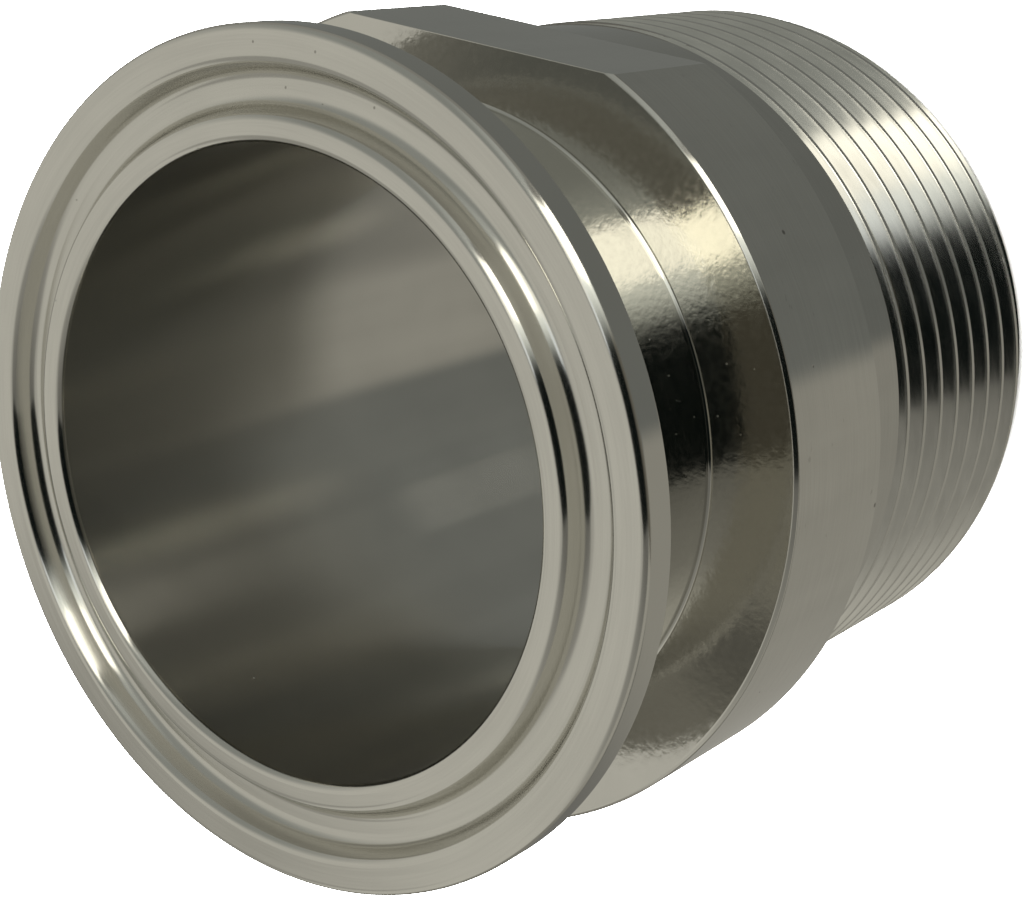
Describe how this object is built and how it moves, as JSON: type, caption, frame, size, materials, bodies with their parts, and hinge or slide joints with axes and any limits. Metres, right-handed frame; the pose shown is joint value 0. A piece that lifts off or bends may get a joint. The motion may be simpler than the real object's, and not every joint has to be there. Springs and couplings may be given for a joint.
{
  "type": "sanitary clamp threaded adapter",
  "caption": "One-piece turned adapter: clamp flange with gasket groove, neck, collar with wrench flats, plain shank and male parallel pipe thread, bored straight through.",
  "frame": {"origin": "centre of the threaded end's face, on the bore axis", "axes": "+Z along the bore axis towards the clamp face, +Y square to the wrench flat seen in the picture"},
  "size_m": [0.0516, 0.0504, 0.0503],
  "materials": {
    "stainless": "turned and polished stainless steel, satin clamp face"
  },
  "bodies": {
    "root": {"adapter": "stainless"}
  },
  "joints": []
}
